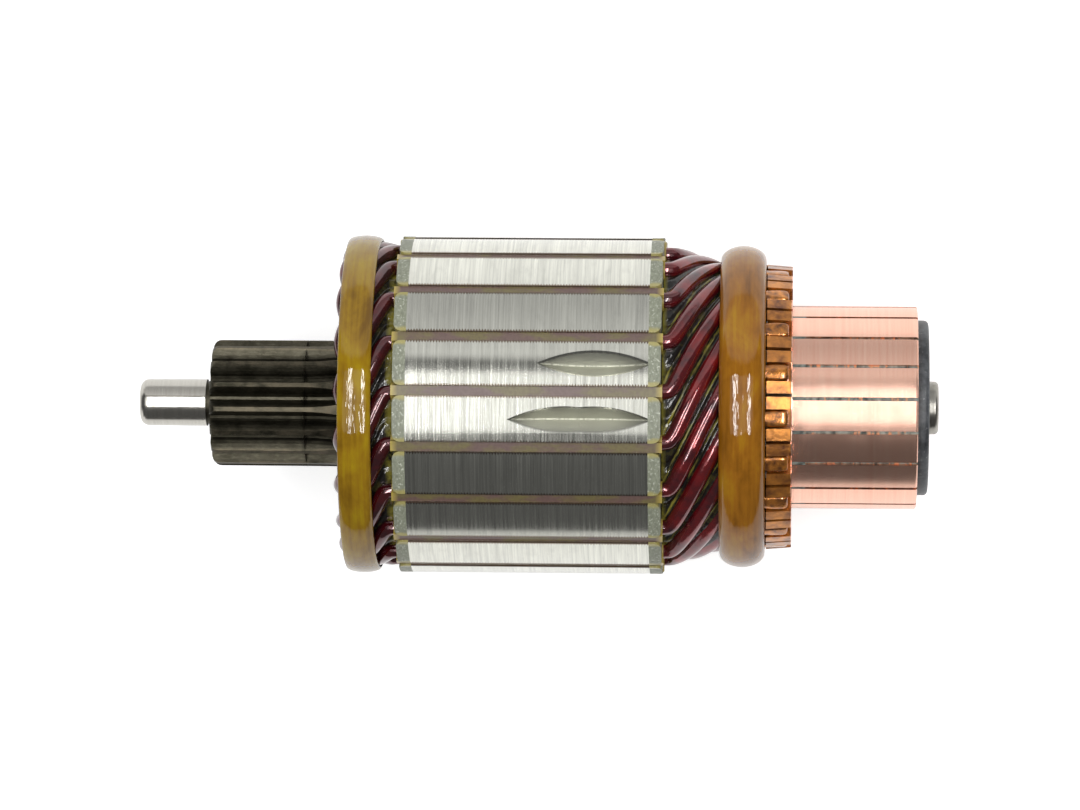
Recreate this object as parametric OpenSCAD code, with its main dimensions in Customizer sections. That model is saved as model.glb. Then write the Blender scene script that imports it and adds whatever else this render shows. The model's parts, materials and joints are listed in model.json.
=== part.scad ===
// Wound armature of a starter motor with planetary gearing: a shaft with its sun gear, a slotted
// core, a two-layer hairpin winding under two bands, and a moulded commutator with slotted risers.
// The shaft lies along X, with the sun gear at -X and the commutator at +X.
// Angles round the shaft start at -Z, where slot 0 lies, and grow towards +Y.

/* [Shaft] */
// Diameter of the bearing journal at the gear end
front_journal_d = 8.4; // [7:0.1:10]
// Length of the bearing journal at the gear end
front_journal_len = 12.1; // [9:0.1:16]
// Depth of the grinding relief behind that journal
relief_depth = 0.35; // [0.2:0.05:0.6]
// Length of the grinding relief
relief_len = 1.2; // [0.8:0.1:2]
// Diameter on which the core is pressed
core_seat_d = 21.6; // [20:0.1:22.4]
// Diameter on which the commutator is pressed
commutator_seat_d = 16; // [13:0.1:18]
// Diameter of the bearing journal at the commutator end
rear_journal_d = 9.5; // [8:0.1:11]
// Length of the bearing journal at the commutator end
rear_journal_len = 11; // [8:0.1:14]
// Rounding of the shaft's front end
front_end_round = 1.5; // [0.8:0.1:2]
// Rounding of the shaft's rear end
rear_end_round = 0.8; // [0.4:0.1:1.2]
// Mouth diameter of the lathe centres in both ends
centre_mouth_d = 2.6; // [1.6:0.1:3]

/* [Sun gear] */
// Number of teeth
gear_teeth = 16; // [13:1:19]
// Module of the teeth
gear_module = 1.2; // [1.1:0.02:1.26]
// Profile shift in modules, which makes the tips narrow
profile_shift = 0.45; // [0.2:0.05:0.55]
// Length of the teeth at full depth
gear_face = 17; // [12:0.5:20]
// Length from the end of full depth to the core
gear_to_core = 17.1; // [14:0.1:24]
// Radius of the hob, whose run-out ends each tooth space
hob_r = 30; // [20:1:36]
// Rounding of the teeth's front corners
gear_corner = 1.3; // [0.6:0.1:1.8]
// Turn of the first tooth from -Z, in degrees
gear_turn = 0.9; // [0:0.1:22]

/* [Core] */
// Number of slots, which is also the number of hairpins and bars
slots = 19; // [15:4:23]
// Outer diameter of the laminations
core_d = 60.4; // [58:0.2:64]
// Length of the stack of laminations
stack_len = 42.6; // [36:0.1:50]
// Thickness of each insulating end plate
end_plate_t = 2.2; // [1.8:0.1:3]
// Width of a slot's mouth
slot_mouth_w = 1.8; // [1.4:0.1:2.2]
// Depth of the upper wire's centre below the core's surface
upper_wire_depth = 2.9; // [2.8:0.1:3.3]
// Rounding of the slot mouths in the end plates' outer faces
mouth_round = 1.3; // [0.8:0.1:1.7]

/* [Balance notches] */
// Radius of the wheel that cuts the balance notches
notch_wheel_r = 25.6; // [20:0.1:32]
// Depth of the notches
notch_depth = 2.1; // [1:0.1:2.4]
// Half the angle of the V-shaped notches
notch_half_angle = 50; // [35:1:52]
// Distance from the stack's front end to the wheel's middle in the last cut
notch_place = 33.2; // [24:0.1:34]
// Distance that the wheel moved between the two cuts of the longer notch
notch_travel = 5.1; // [3:0.1:6]

/* [Winding] */
// Diameter of the enamelled wire
wire_d = 2.8; // [2.3:0.05:2.9]
// Thickness of the slot liners
liner_t = 0.2; // [0.15:0.05:0.25]
// Length by which the liners stand out of the core
liner_cuff = 0.3; // [0.1:0.1:0.5]
// Depth of the liner's edge below the core's surface
liner_depth = 0.4; // [0.2:0.05:0.8]
// Thickness of the sheet between the two layers of wire
layer_sheet_t = 0.2; // [0.1:0.05:0.25]
// Length of the winding beyond the core at the gear end
front_overhang = 10.8; // [10.2:0.1:13]
// Length from the core to the commutator's risers
rear_overhang = 18.5; // [17:0.1:24]
// Bending radius of the wire where it leaves the core
wire_bend_r = 2; // [1.8:0.1:3]
// Rise of the wires beyond the core at the gear end
front_rise = 0.65; // [0.3:0.05:0.8]
// Width of the pressed wire end in its riser
wire_end_w = 2.75; // [2.5:0.05:3]
// Height of the pressed wire end in its riser
wire_end_h = 2.3; // [2:0.05:2.4]

/* [Bands] */
// Width of the front band
front_band_w = 5.9; // [5:0.1:6.4]
// Distance from the core to the front band
front_band_gap = 3.8; // [3:0.1:4.2]
// Height of the front band's crown over its edges
front_band_crown = 0.8; // [0.4:0.1:1.2]
// Width of the rear band
rear_band_w = 8.2; // [6:0.1:8.3]
// Distance from the core to the rear band
rear_band_gap = 10.1; // [8:0.1:10.2]
// Height of the rear band's crown over its edges
rear_band_crown = 2.6; // [1:0.1:3]
// Thickness of both bands at their thinnest edge
band_edge_t = 0.2; // [0.15:0.05:0.6]

/* [Commutator] */
// Diameter of the brush track
track_d = 36.4; // [35:0.1:38]
// Length of the turned brush track
track_len = 19.9; // [16:0.1:24]
// Length of the unturned neck between the risers and the track
neck_len = 2.4; // [1.4:0.1:4]
// Length of the risers along the shaft
riser_len = 4.5; // [3.6:0.1:6]
// Depth of the risers' rear edges below the core's surface
riser_step = 4.95; // [3.7:0.05:5.2]
// Height of a riser's front edge over its rear edge
riser_taper = 0.35; // [0.1:0.05:0.6]
// Clearance beside the wire in its riser slot
riser_side_gap = 0.35; // [0.1:0.05:0.5]
// Thickness of the mica between two bars
mica_t = 0.6; // [0.4:0.05:0.8]
// Depth of the undercut over the mica
undercut = 0.6; // [0.3:0.05:1]
// Depth of a bar from the track to its underside
bar_depth = 3.3; // [2.8:0.1:3.8]
// Depth of the dovetail foot below the bar's underside
foot_depth = 2.5; // [1.8:0.1:2.8]
// Slant of the dovetail foot's ends
foot_rake = 1.3; // [0.8:0.1:1.6]
// Distance from a bar's front face to its dovetail foot
foot_inset_front = 4.8; // [4.5:0.1:6]
// Distance from a bar's rear face to its dovetail foot
foot_inset_rear = 2.8; // [2.4:0.1:3.4]
// Rounding of the bars' rear edge
bar_round = 0.4; // [0.2:0.1:0.8]
// Depth of the hub's rear lip below the track
hub_step = 2.5; // [2:0.1:2.8]
// Thickness of the hub's rear lip
hub_lip_t = 2; // [1.6:0.1:3.5]
// Rounding of the hub's rear lip
hub_round = 0.8; // [0.4:0.1:1.4]
// Diameter of the recess round the rear journal
recess_d = 17.2; // [16.6:0.1:19]
// Wall of the steel bush in the hub
bush_wall = 2; // [1.5:0.1:2.2]
// Distance from the bars' front face to the bush and the hub
hub_setback = 0.6; // [0.2:0.1:1.5]
// Width of each reinforcing ring
ring_w = 1.4; // [1:0.1:1.5]
// Height of each reinforcing ring
ring_h = 1.4; // [1:0.1:1.6]
// Length by which the shaft stands out of the hub
stub_len = 1.9; // [0.8:0.1:4]

/* [Fits] */
// Gap between a slot's wall and its liner
liner_fit = 0.03; // [0.01:0.01:0.06]
// Gap between a wire and its liner
wire_fit = 0.045; // [0.02:0.005:0.08]
// Gap between the sheet and the wires on either side of it
layer_fit = 0.19; // [0.16:0.01:0.2]
// Gap between a band and the wires under it
band_fit = 0.03; // [0.01:0.01:0.08]
// Gap between the two wires in a riser, and under the lower one
riser_fit = 0.08; // [0.02:0.01:0.1]

/* [Hidden] */
$fn = 96;
past = 1; // how far a cutter reaches past what it cuts
cut_reach = core_d; // larger than any radius

function pad2(i) = str(i < 9 ? "0" : "", i + 1);
function hairpin_name(i) = str("hairpin_", pad2(i));
function bar_name(i) = str("commutator_bar_", pad2(i));

// Stations along the shaft, counted from the middle of its length
core_len = stack_len + 2 * end_plate_t;
overall_len = front_journal_len + relief_len + gear_face + gear_to_core + core_len + rear_overhang
    + riser_len + neck_len + track_len + hub_lip_t + stub_len;
x_front = -overall_len / 2;
x_relief = x_front + front_journal_len;
x_gear = x_relief + relief_len;
x_runout = x_gear + gear_face;
x_core_front = x_runout + gear_to_core;
x_stack_front = x_core_front + end_plate_t;
x_stack_rear = x_stack_front + stack_len;
x_core_rear = x_stack_rear + end_plate_t;
x_riser = x_core_rear + rear_overhang;
x_neck = x_riser + riser_len;
x_track = x_neck + neck_len;
x_bar_end = x_track + track_len;
x_hub_end = x_bar_end + hub_lip_t;
x_rear = x_hub_end + stub_len;
x_shoulder = x_rear - rear_journal_len;

// Gear
pressure_angle = 20;
dedendum = 1.25; // in modules
root_flat = 0.5;
flank_steps = 4;
exit_margin = 4; // degrees by which a hob's arc goes on outside the blank
gear_base_r = gear_module * gear_teeth / 2 * cos(pressure_angle);
gear_tip_r = gear_module * (gear_teeth / 2 + 1 + profile_shift);
gear_root_r = gear_module * (gear_teeth / 2 - dedendum + profile_shift);

// Core and slots
pitch = 360 / slots;
core_r = core_d / 2;
wire_r = wire_d / 2;
layer_step = wire_d + layer_sheet_t + 2 * layer_fit;
upper_r = core_r - upper_wire_depth;
lower_r = upper_r - layer_step;
slot_half_w = wire_r + wire_fit + liner_t + liner_fit;

// Winding: slots from one leg of a hairpin to the other, and bars from one end to the other. The
// upper leg takes one bar more of the way behind the core than the lower leg.
coil_pitch = 4;
commutator_pitch = (slots + 1) / 2;
front_skew = coil_pitch / 2 * pitch;
rear_skew_upper = (commutator_pitch - coil_pitch + 1) / 2 * pitch;
rear_skew_lower = (commutator_pitch - coil_pitch - 1) / 2 * pitch;
front_upper_r = upper_r + front_rise;
riser_r = core_r - riser_step;
riser_upper_r = riser_r - wire_end_h / 2;
riser_lower_r = riser_upper_r - wire_end_h - riser_fit;
riser_floor_r = riser_lower_r - wire_end_h / 2 - riser_fit;
wire_end_short = 0.9; // the wires end this far before the risers' rear face
cone_len = 14; // the winding narrows over this length behind the core
settle_len = 0.7; // the wires run straight this far before they enter the risers
sheet_end = 3.5; // the rear sheet ends this far before the risers
sheet_front_len = 6; // the front sheet reaches this far from the core

// Commutator
track_r = track_d / 2;
under_r = track_r - bar_depth;
foot_r = under_r - foot_depth;
hub_r = track_r - hub_step;
recess_r = recess_d / 2;
bush_r = commutator_seat_d / 2 + bush_wall;
ring_cover = 0.5; // moulding between a reinforcing ring and what lies next to it
x_hub = x_riser + hub_setback;

// ---- Helpers ----

// Points of an arc in the plane
function arc(centre, r, from, to, steps) =
    [for (k = [0 : steps]) let (a = from + (to - from) * k / steps) centre + r * [cos(a), sin(a)]];

// Points of half an ellipse over a width, as [radius, station]
function crown(from, width, base, height, steps) =
    [for (k = [0 : steps]) let (a = 180 * k / steps)
        [base + height * sin(a), from + width * (1 - cos(a)) / 2]];

// Goes from 0 to 1 with a soft start and a soft end
function ease(t) = (1 - cos(180 * min(1, max(0, t)))) / 2;

function reversed(list) = [for (k = [len(list) - 1 : -1 : 0]) list[k]];

function mirrored(points) = concat(points, [for (p = reversed(points)) [p[0], -p[1]]]);

// What is drawn along Z is laid along X, with its own +X turned to -Z
module along_shaft() rotate([0, 90, 0]) children();

module at_angle(a) rotate([0, 0, a]) children();

// A turned shape from [radius, station] points
module turned(points) rotate_extrude() polygon(points);

// A straight shape of one cross-section between two stations
module run(from, to) translate([0, 0, from]) linear_extrude(height = to - from) children();

// ---- Shaft ----

function involute(a) = tan(a) * 180 / PI - a;

// Half the angle that a tooth covers at a radius
function tooth_half_angle(r) =
    90 / gear_teeth + 2 * profile_shift * tan(pressure_angle) / gear_teeth * 180 / PI
    + involute(pressure_angle) - involute(acos(gear_base_r / r));

// Half the width of a tooth space at a radius
function space_half_w(r) = r * sin(180 / gear_teeth - tooth_half_angle(r));

// One side of a tooth space, as [radius, half width], from its root to outside the blank
function space_side() =
    let (low = max(gear_base_r, gear_root_r + 0.2), high = space_half_w(gear_tip_r))
    concat([[gear_root_r, root_flat / 2]],
           [for (k = [0 : flank_steps]) let (r = low + (gear_tip_r - low) * k / flank_steps)
               [r, space_half_w(r)]],
           [[gear_tip_r + past, high + 0.15]]);

module shaft_blank() {
    journal_r = front_journal_d / 2;
    rear_r = rear_journal_d / 2;
    turned(concat(
        [[0, x_front]],
        arc([journal_r - front_end_round, x_front + front_end_round], front_end_round, -90, 0, 6),
        [[journal_r, x_relief], [journal_r - relief_depth, x_relief],
         [journal_r - relief_depth, x_gear]],
        arc([gear_tip_r - gear_corner, x_gear + gear_corner], gear_corner, -90, 0, 5),
        [[gear_tip_r, x_core_front], [core_seat_d / 2, x_core_front],
         [core_seat_d / 2, x_core_rear], [commutator_seat_d / 2, x_core_rear],
         [commutator_seat_d / 2, x_shoulder], [rear_r, x_shoulder]],
        arc([rear_r - rear_end_round, x_rear - rear_end_round], rear_end_round, 0, 90, 5),
        [[0, x_rear]]
    ));
}

// One tooth space: a straight run at full depth, then the hob's own arc where it left the blank
module tooth_space() {
    side = mirrored(space_side());
    hob_centre = gear_root_r + hob_r;
    exit_angle = acos((hob_centre - gear_tip_r) / hob_r) + exit_margin;
    run(x_gear - past, x_runout) polygon(side);
    translate([hob_centre, 0, x_runout]) rotate([90, 0, 0]) rotate([0, 0, 180 - exit_angle])
        rotate_extrude(angle = exit_angle) polygon([for (p = side) [hob_centre - p[0], p[1]]]);
}

// A 60 degree lathe centre, whose mouth lies at the origin and opens towards -Z
module lathe_centre() {
    mouth_r = centre_mouth_d / 2;
    turned([[0, -past], [mouth_r, -past], [mouth_r, 0], [0, mouth_r / tan(30)]]);
}

module armature_shaft() color([0.36, 0.34, 0.32]) along_shaft() difference() {
    shaft_blank();
    for (i = [0 : gear_teeth - 1]) at_angle(gear_turn + (i + 0.5) * 360 / gear_teeth) tooth_space();
    translate([0, 0, x_front]) lathe_centre();
    translate([0, 0, x_rear]) rotate([180, 0, 0]) lathe_centre();
}

// ---- Core ----

// One side of a slot from its mouth to its bottom, as [radius, half width], with its walls moved
// out by an amount and its mouth ending at a radius
function slot_side(grow, mouth_end) =
    let (half_w = slot_half_w + grow, mouth = slot_mouth_w / 2 + grow)
    concat([[mouth_end, mouth]],
           arc([upper_r, 0], half_w, asin(mouth / half_w), 90, 4),
           arc([lower_r, 0], half_w, 90, 170, 5));

module slot_shape(grow, mouth_end) polygon(mirrored(slot_side(grow, mouth_end)));

module core_section() difference() {
    circle(core_r);
    circle(core_seat_d / 2);
    for (i = [0 : slots - 1]) at_angle(i * pitch) slot_shape(0, core_r + past);
}

// One plunge of the balancing wheel into a tooth, at a distance from the stack's front end
module balance_cut(tooth, place) {
    bevel = notch_depth + past;
    at_angle((tooth + 0.5) * pitch)
        translate([core_r - notch_depth + notch_wheel_r, 0, x_stack_front + place])
        rotate([90, 0, 0]) turned([[notch_wheel_r, 0],
                                   [notch_wheel_r - bevel, bevel * tan(notch_half_angle)],
                                   [notch_wheel_r - bevel, -bevel * tan(notch_half_angle)]]);
}

module lamination_stack() color([0.74, 0.75, 0.74]) along_shaft() {
    top_tooth = (slots - 1) / 2;
    difference() {
        run(x_stack_front, x_stack_rear) core_section();
        balance_cut(top_tooth, notch_place);
        balance_cut(top_tooth, notch_place - notch_travel);
        balance_cut(top_tooth - 1, notch_place);
    }
}

// A cutter that opens a slot's mouth towards -Z between two round corners
module mouth_flare() {
    half_w = slot_mouth_w / 2;
    side = concat([[mouth_round + past, half_w + mouth_round], [0, half_w + mouth_round]],
                  arc([-mouth_round, half_w + mouth_round], mouth_round, 0, -90, 4));
    rotate([0, 90, 0]) run(upper_r, core_r + past) polygon(mirrored(side));
}

// An end plate whose outer face lies at the origin, with its body on the +Z side
module end_plate() difference() {
    run(0, end_plate_t) core_section();
    for (i = [0 : slots - 1]) at_angle(i * pitch) mouth_flare();
}

module end_plate_front() color([0.62, 0.65, 0.55]) along_shaft()
    translate([0, 0, x_core_front]) end_plate();

module end_plate_rear() color([0.62, 0.65, 0.55]) along_shaft()
    translate([0, 0, x_core_rear]) mirror([0, 0, 1]) end_plate();

// ---- Winding ----

// A liner is a strip folded round both wires, whose closed edges stand in the slot's mouth
module liner_section() difference() {
    slot_shape(-liner_fit, core_r - liner_depth);
    polygon(mirrored(concat(arc([upper_r, 0], wire_r + wire_fit, 10, 90, 4),
                            arc([lower_r, 0], wire_r + wire_fit, 90, 170, 4))));
}

module slot_liners() color([0.66, 0.62, 0.36]) along_shaft()
    for (i = [0 : slots - 1]) at_angle(i * pitch)
        run(x_core_front - liner_cuff, x_core_rear + liner_cuff) liner_section();

// Radius of the upper wires' centres at a distance beyond the core
function upper_r_rear(d) = upper_r + (riser_upper_r - upper_r) * ease(d / cone_len);
function upper_r_front(d) = upper_r + front_rise * ease(d / front_band_gap);

// Distance between the two layers' centres at a distance behind the core
function step_rear(d) =
    let (from = rear_overhang - sheet_end, t = min(1, max(0, (d - from) / sheet_end)))
    layer_step + (riser_upper_r - riser_lower_r - layer_step) * t * t;

// The wire paths are laid flat at a mean radius, as [along the shaft, round the shaft]. Each
// leaves the core along the shaft, bends to a slope and ends in a second bend. This is the slope
// at which the two bends and the straight between them add up.
function slope_for(along, round, bends) = atan2(round, along) + asin(bends / norm([along, round]));

// A point on the first bend, or on the straight after it, at a distance along the path
function flat_point(s, bend_r, slope) =
    let (bend_len = bend_r * slope * PI / 180, a = min(s, bend_len) / bend_r * 180 / PI)
    bend_r * [sin(a), 1 - cos(a)] + max(0, s - bend_len) * [cos(slope), sin(slope)];

// Behind the core the second bend undoes the first, so the second half mirrors the first. A path
// is [span, slope, length of a bend, length of its first half].
rear_bend_r = wire_bend_r + 0.3;
rear_mean_r = (upper_r + riser_lower_r) / 2;
function rear_path(skew) =
    let (span = [rear_overhang - liner_cuff - settle_len, skew * PI / 180 * rear_mean_r],
         slope = slope_for(span[0], span[1] - 2 * rear_bend_r, 2 * rear_bend_r),
         bend = rear_bend_r * slope * PI / 180)
    [span, slope, bend, bend + norm(span / 2 - flat_point(bend, rear_bend_r, slope))];
function rear_flat(path, s) = s <= path[3] ? flat_point(s, rear_bend_r, path[1])
    : path[0] - flat_point(2 * path[3] - s, rear_bend_r, path[1]);

// At the gear end the second bend is the nose, which turns the wire square to the shaft
nose_r = 2.2;
front_mean_r = front_upper_r - layer_step / 2;
front_span = [front_overhang - liner_cuff - wire_r, front_skew * PI / 180 * front_mean_r];
front_slope = slope_for(front_span[0] - nose_r, front_span[1] - wire_bend_r, wire_bend_r - nose_r);
front_bend = wire_bend_r * front_slope * PI / 180;
nose_start = front_span - nose_r * [1 - sin(front_slope), cos(front_slope)];
front_straight = norm(nose_start - flat_point(front_bend, wire_bend_r, front_slope));
front_half = front_bend + front_straight + nose_r * (90 - front_slope) * PI / 180;
function front_flat(s) =
    let (a = front_slope + max(0, s - front_bend - front_straight) / nose_r * 180 / PI)
    s <= front_bend + front_straight ? flat_point(s, wire_bend_r, front_slope)
    : front_span - nose_r * [1 - sin(a), cos(a)];

// Distances along the paths at which a wire has a ring of points
nose_reach = 3.2; // the wire steps from one layer to the other within this length of the nose
nose_near = 1.4;
function rear_stops(bend, half, parts) =
    concat([0, bend / 2], [for (k = [0 : 2 * parts]) bend + (half - bend) * k / parts],
           [2 * half - bend / 2, 2 * half]);
front_stops = concat([0, front_bend / 2],
                     [for (k = [0 : 3]) front_bend + (front_half - nose_reach - front_bend) * k / 3],
                     [front_half - nose_near]);

// A ring is [station, angle, radius, half height, half width, corner], where corner says how
// square its eight sides stand: round wire in the winding, and pressed flat in a riser
wire_half = wire_r * cos(22.5);
function round_ring(x, a, r) = [x, a, r, wire_half, wire_half, tan(22.5)];
function pressed_ring(x, a, r) = [x, a, r, wire_end_h / 2, wire_end_w / 2, 0.8];

// Rings behind the core, from the core to the riser, of an upper (side 1) or lower (-1) leg
function rear_rings(slot, side) =
    let (skew = side > 0 ? rear_skew_upper : rear_skew_lower, path = rear_path(skew))
    concat(
        [for (s = rear_stops(path[2], path[3], side > 0 ? 3 : 2))
            let (p = rear_flat(path, s), d = liner_cuff + p[0])
            round_ring(x_core_rear + d, slot * pitch - side * p[1] / rear_mean_r * 180 / PI,
                       upper_r_rear(d) - (side > 0 ? 0 : step_rear(d)))],
        [for (x = [x_riser, x_neck - wire_end_short])
            pressed_ring(x, slot * pitch - side * skew, side > 0 ? riser_upper_r : riser_lower_r)]
    );

// Rings of one half of the front end, from the core to just before the nose
function front_rings(slot, side) =
    [for (s = front_stops)
        let (p = front_flat(s), d = liner_cuff + p[0], to_nose = front_half - s,
             down = (1 - side) / 2 + side * ease((nose_reach - to_nose) / (2 * nose_reach)))
        round_ring(x_core_front - d, slot * pitch + side * p[1] / front_mean_r * 180 / PI,
                   upper_r_front(d) - down * layer_step)];

function nose_ring(slot) =
    round_ring(x_core_front - liner_cuff - front_span[0], (slot + coil_pitch / 2) * pitch,
               front_mean_r);

function hairpin_rings(slot) = concat(
    reversed(rear_rings(slot, 1)),
    front_rings(slot, 1),
    [nose_ring(slot)],
    reversed(front_rings(slot + coil_pitch, -1)),
    rear_rings(slot + coil_pitch, -1)
);

function ring_centre(ring) = [ring[2] * cos(ring[1]), ring[2] * sin(ring[1]), ring[0]];

// The eight points of a ring, square to the wire's direction
function ring_points(ring, direction) =
    let (t = direction / norm(direction),
         out = [cos(ring[1]), sin(ring[1]), 0],
         flat_out = out - (out * t) * t,
         n = flat_out / norm(flat_out),
         b = cross(t, n),
         h = ring[3], w = ring[4], c = ring[5])
    [for (q = [[h, c * w], [c * h, w], [-c * h, w], [-h, c * w],
               [-h, -c * w], [-c * h, -w], [c * h, -w], [h, -c * w]])
        ring_centre(ring) + q[0] * n + q[1] * b];

// A wire through a list of rings
module wire(rings) {
    last = len(rings) - 1;
    sides = 8;
    points = [for (k = [0 : last])
        each ring_points(rings[k], ring_centre(rings[min(last, k + 1)])
                                   - ring_centre(rings[max(0, k - 1)]))];
    polyhedron(points, concat(
        [[for (j = [0 : sides - 1]) j]],
        [for (k = [0 : last - 1], j = [0 : sides - 1])
            let (a = k * sides + j, b = k * sides + (j + 1) % sides)
            each [[a, a + sides, b + sides], [a, b + sides, b]]],
        [[for (j = [sides - 1 : -1 : 0]) last * sides + j]]
    ));
}

module hairpin(slot) color([0.48, 0.08, 0.07]) along_shaft() wire(hairpin_rings(slot));

// The two sheets lie between the layers of wire, outside the core
module layer_sheet_front() color([0.74, 0.64, 0.2]) along_shaft() {
    from = liner_cuff + 0.1;
    top = [for (k = [0 : 8]) let (d = from + (sheet_front_len - from) * k / 8)
        [upper_r_front(d) - wire_r - layer_fit, x_core_front - d]];
    turned(concat(top, [for (p = reversed(top)) p - [layer_sheet_t, 0]]));
}

module layer_sheet_rear() color([0.74, 0.64, 0.2]) along_shaft() {
    from = liner_cuff + 0.1;
    to = rear_overhang - sheet_end;
    top = [for (k = [0 : 10]) let (d = from + (to - from) * k / 10)
        [upper_r_rear(d) - wire_r - layer_fit, x_core_rear + d]];
    turned(concat(top, [for (p = reversed(top)) p - [layer_sheet_t, 0]]));
}

// ---- Bands ----

module winding_band_front() color([0.68, 0.5, 0.12]) along_shaft() {
    inner = front_upper_r + wire_r + band_fit;
    from = x_core_front - front_band_gap - front_band_w;
    turned(concat(crown(from, front_band_w, inner + band_edge_t, front_band_crown, 14),
                  [[inner, from + front_band_w], [inner, from]]));
}

module winding_band_rear() color([0.6, 0.4, 0.12]) along_shaft() {
    under = [for (k = [6 : -1 : 0]) let (d = rear_band_gap + rear_band_w * k / 6)
        [upper_r_rear(d) + wire_r + band_fit, x_core_rear + d]];
    turned(concat(crown(x_core_rear + rear_band_gap, rear_band_w, under[6][0] + band_edge_t,
                        rear_band_crown, 16), under));
}

// ---- Commutator ----

// The dovetail underside that bars, mica and hub share, from the rear to the front
bar_underside = [
    [under_r, x_bar_end], [under_r, x_bar_end - foot_inset_rear],
    [foot_r, x_bar_end - foot_inset_rear + foot_rake],
    [foot_r, x_riser + foot_inset_front - foot_rake],
    [under_r, x_riser + foot_inset_front]
];

module bar_sector() {
    half = pitch / 2;
    apex = mica_t / 2 / sin(half);
    run(x_riser - past, x_bar_end + past) polygon([
        [apex, 0],
        [apex + cut_reach * cos(half), cut_reach * sin(half)],
        [apex + cut_reach * cos(half), -cut_reach * sin(half)]
    ]);
}

module commutator_bar(i) color([0.86, 0.56, 0.42]) along_shaft() at_angle((i + 0.5) * pitch)
    difference() {
        intersection() {
            turned(concat(
                [[under_r, x_riser], [riser_r + riser_taper, x_riser], [riser_r, x_neck],
                 [track_r, x_neck]],
                arc([track_r - bar_round, x_bar_end - bar_round], bar_round, 0, 90, 3),
                bar_underside
            ));
            bar_sector();
        }
        slot_w = wire_end_w + 2 * riser_side_gap;
        run(x_riser - past, x_neck + past)
            translate([riser_floor_r, -slot_w / 2]) square([cut_reach, slot_w]);
    }

module mica_separators() color([0.62, 0.64, 0.6]) along_shaft()
    for (i = [0 : slots - 1]) at_angle(i * pitch) intersection() {
        turned(concat(
            [[under_r, x_riser], [track_r, x_riser], [track_r, x_track],
             [track_r - undercut, x_track], [track_r - undercut, x_bar_end]],
            bar_underside
        ));
        run(x_riser - past, x_bar_end + past)
            translate([0, -mica_t / 2]) square([cut_reach, mica_t]);
    }

// Cross-section of a reinforcing ring that starts at a station
module ring_section(x) translate([under_r - ring_cover - ring_h, x]) square([ring_h, ring_w]);

x_ring_front = x_hub + ring_cover;
x_ring_rear = x_bar_end - foot_inset_rear + foot_rake + ring_cover;

module commutator_hub() color([0.2, 0.2, 0.2]) along_shaft() rotate_extrude() difference() {
    polygon(concat(
        [[bush_r, x_hub], [under_r, x_hub]],
        reversed(bar_underside),
        [[hub_r, x_bar_end]],
        arc([hub_r - hub_round, x_hub_end - hub_round], hub_round, 0, 90, 4),
        [[recess_r, x_hub_end], [recess_r, x_shoulder], [bush_r, x_shoulder]]
    ));
    ring_section(x_ring_front);
    ring_section(x_ring_rear);
}

module commutator_bush() color([0.55, 0.56, 0.57]) along_shaft() turned([
    [commutator_seat_d / 2, x_hub], [bush_r, x_hub],
    [bush_r, x_shoulder], [commutator_seat_d / 2, x_shoulder]
]);

module hub_ring_front() color([0.8, 0.78, 0.66]) along_shaft()
    rotate_extrude() ring_section(x_ring_front);

module hub_ring_rear() color([0.8, 0.78, 0.66]) along_shaft()
    rotate_extrude() ring_section(x_ring_rear);

armature_shaft();
lamination_stack();
end_plate_front();
end_plate_rear();
slot_liners();
layer_sheet_front();
layer_sheet_rear();
winding_band_front();
winding_band_rear();
mica_separators();
commutator_hub();
commutator_bush();
hub_ring_front();
hub_ring_rear();
for (i = [0 : slots - 1]) {
    hairpin(i);
    commutator_bar(i);
}
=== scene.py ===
"""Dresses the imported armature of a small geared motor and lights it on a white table.

The shaft lies along X with the sun gear at -X and the commutator at +X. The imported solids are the
frame: this script gives each of them its finish, and stands rounder or rougher pieces for those
whose look needs them.
"""

import sys

import json
import logging
import math
from collections.abc import Callable, Sequence
from dataclasses import dataclass
from enum import Enum

import bmesh
import bpy
from mathutils import Matrix, Vector

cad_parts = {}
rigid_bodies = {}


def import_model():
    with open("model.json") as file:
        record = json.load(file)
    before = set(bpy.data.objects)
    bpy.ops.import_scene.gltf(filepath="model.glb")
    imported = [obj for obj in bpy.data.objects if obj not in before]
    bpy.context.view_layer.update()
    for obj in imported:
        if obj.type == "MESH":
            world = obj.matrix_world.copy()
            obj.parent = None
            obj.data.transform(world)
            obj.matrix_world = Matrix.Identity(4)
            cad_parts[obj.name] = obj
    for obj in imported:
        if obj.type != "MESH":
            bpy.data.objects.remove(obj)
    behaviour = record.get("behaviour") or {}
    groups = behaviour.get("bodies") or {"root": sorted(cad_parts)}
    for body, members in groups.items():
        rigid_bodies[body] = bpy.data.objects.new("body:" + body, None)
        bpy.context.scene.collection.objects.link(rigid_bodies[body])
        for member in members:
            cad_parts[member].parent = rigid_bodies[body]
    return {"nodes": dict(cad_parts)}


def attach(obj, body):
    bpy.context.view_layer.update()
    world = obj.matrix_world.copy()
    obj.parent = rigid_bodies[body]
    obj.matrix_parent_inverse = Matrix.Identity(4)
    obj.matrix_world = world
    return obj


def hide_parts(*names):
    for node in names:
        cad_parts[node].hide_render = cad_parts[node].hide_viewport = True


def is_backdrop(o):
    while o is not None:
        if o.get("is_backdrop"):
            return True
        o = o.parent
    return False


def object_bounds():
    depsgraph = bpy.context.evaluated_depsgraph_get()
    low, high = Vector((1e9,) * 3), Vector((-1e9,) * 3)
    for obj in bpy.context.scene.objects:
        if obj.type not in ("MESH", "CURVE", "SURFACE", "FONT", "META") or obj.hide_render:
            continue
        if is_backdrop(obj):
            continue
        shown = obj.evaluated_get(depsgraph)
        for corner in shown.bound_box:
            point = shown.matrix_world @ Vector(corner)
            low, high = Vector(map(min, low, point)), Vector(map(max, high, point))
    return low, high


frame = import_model()

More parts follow.
